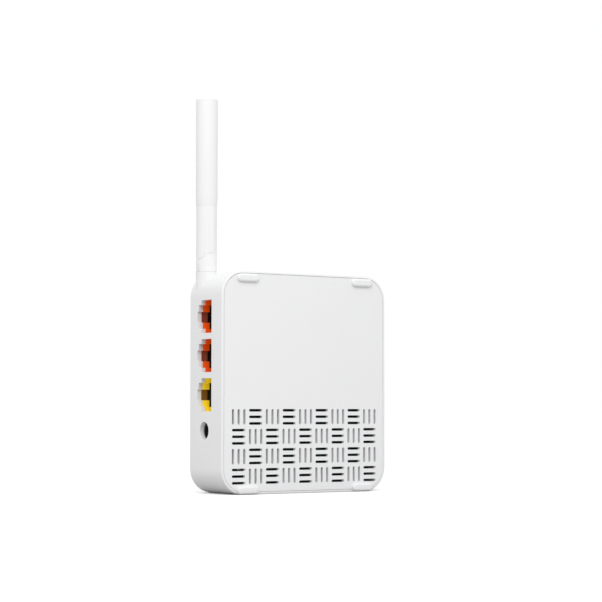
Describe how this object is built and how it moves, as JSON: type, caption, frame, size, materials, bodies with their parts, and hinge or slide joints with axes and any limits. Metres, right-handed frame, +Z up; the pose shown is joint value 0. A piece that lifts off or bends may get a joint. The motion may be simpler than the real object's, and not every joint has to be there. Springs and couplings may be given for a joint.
{
  "type": "compact wireless network terminal",
  "caption": "Small upright white network box with a vented back, three network sockets, a supply inlet and a folding, swivelling stick antenna.",
  "frame": {"origin": "middle of the flat lower edge that the unit stands on", "axes": "+Z up, +Y towards the front face, -Y towards the vented back cover, -X towards the sockets"},
  "size_m": [0.0715, 0.0252, 0.1451],
  "materials": {
    "housing_white": "satin",
    "antenna_white": "satin",
    "clear_acrylic": "polished",
    "board_green": "satin",
    "screw_steel": "satin",
    "socket_orange": "satin",
    "socket_yellow": "satin",
    "contact_gold": "polished",
    "contact_nickel": "polished",
    "moulded_black": "satin",
    "chip_black": "matte",
    "thermal_grey": "matte",
    "sink_aluminium": "satin",
    "tinned_steel": "satin",
    "ferrite_grey": "matte",
    "can_aluminium": "satin",
    "led_white": "gloss",
    "washer_nylon": "satin",
    "radiator_brass": "satin",
    "lead_black": "satin"
  },
  "bodies": {
    "housing": {"front_housing": "housing_white", "back_cover": "housing_white", "light_guide": "clear_acrylic", "main_board": "board_green", "board_screws": "screw_steel", "yellow_socket": "socket_yellow", "lower_orange_socket": "socket_orange", "upper_orange_socket": "socket_orange", "yellow_socket_contacts": "contact_gold", "lower_orange_contacts": "contact_gold", "upper_orange_contacts": "contact_gold", "supply_socket": "moulded_black", "supply_pin": "contact_nickel", "supply_leaf_spring": "contact_nickel", "line_transformers": "moulded_black", "main_chip": "chip_black", "thermal_pad": "thermal_grey", "heat_sink": "sink_aluminium", "shield_can": "tinned_steel", "memory_chip": "chip_black", "flash_chip": "chip_black", "crystal": "tinned_steel", "power_inductor": "ferrite_grey", "regulators": "chip_black", "capacitors": "can_aluminium", "indicator_leds": "led_white", "reset_switch": "moulded_black", "coax_tail": "lead_black", "coax_plug": "contact_gold"},
    "antenna_swivel": {"antenna_base": "antenna_white", "antenna_clip": "screw_steel", "pivot_washers": "washer_nylon", "hinge_lead": "lead_black"},
    "antenna_stick": {"antenna_knuckle": "antenna_white", "antenna_sleeve": "antenna_white", "radiator_tube": "radiator_brass", "antenna_lead": "lead_black", "radiator_whip": "radiator_brass", "pivot_pin": "screw_steel"},
    "reset": {"reset_button": "housing_white", "reset_plunger": "moulded_black"}
  },
  "joints": [
    {"name": "antenna_turn", "type": "hinge", "parent": "housing", "child": "antenna_swivel", "pos_m": [-0.0312, 0.0075, 0.08105], "axis": [0, 0, 1], "range_deg": [-90, 90]},
    {"name": "antenna_fold", "type": "hinge", "parent": "antenna_swivel", "child": "antenna_stick", "pos_m": [-0.0312, 0.0075, 0.0892], "axis": [-1, 0, 0], "range_deg": [0, 90]},
    {"name": "reset_press", "type": "slide", "parent": "housing", "child": "reset", "axis": [-1, 0, 0], "range_m": [0, 0.0005], "stiffness_N_per_m": 1500, "springref_m": -0.0003}
  ]
}
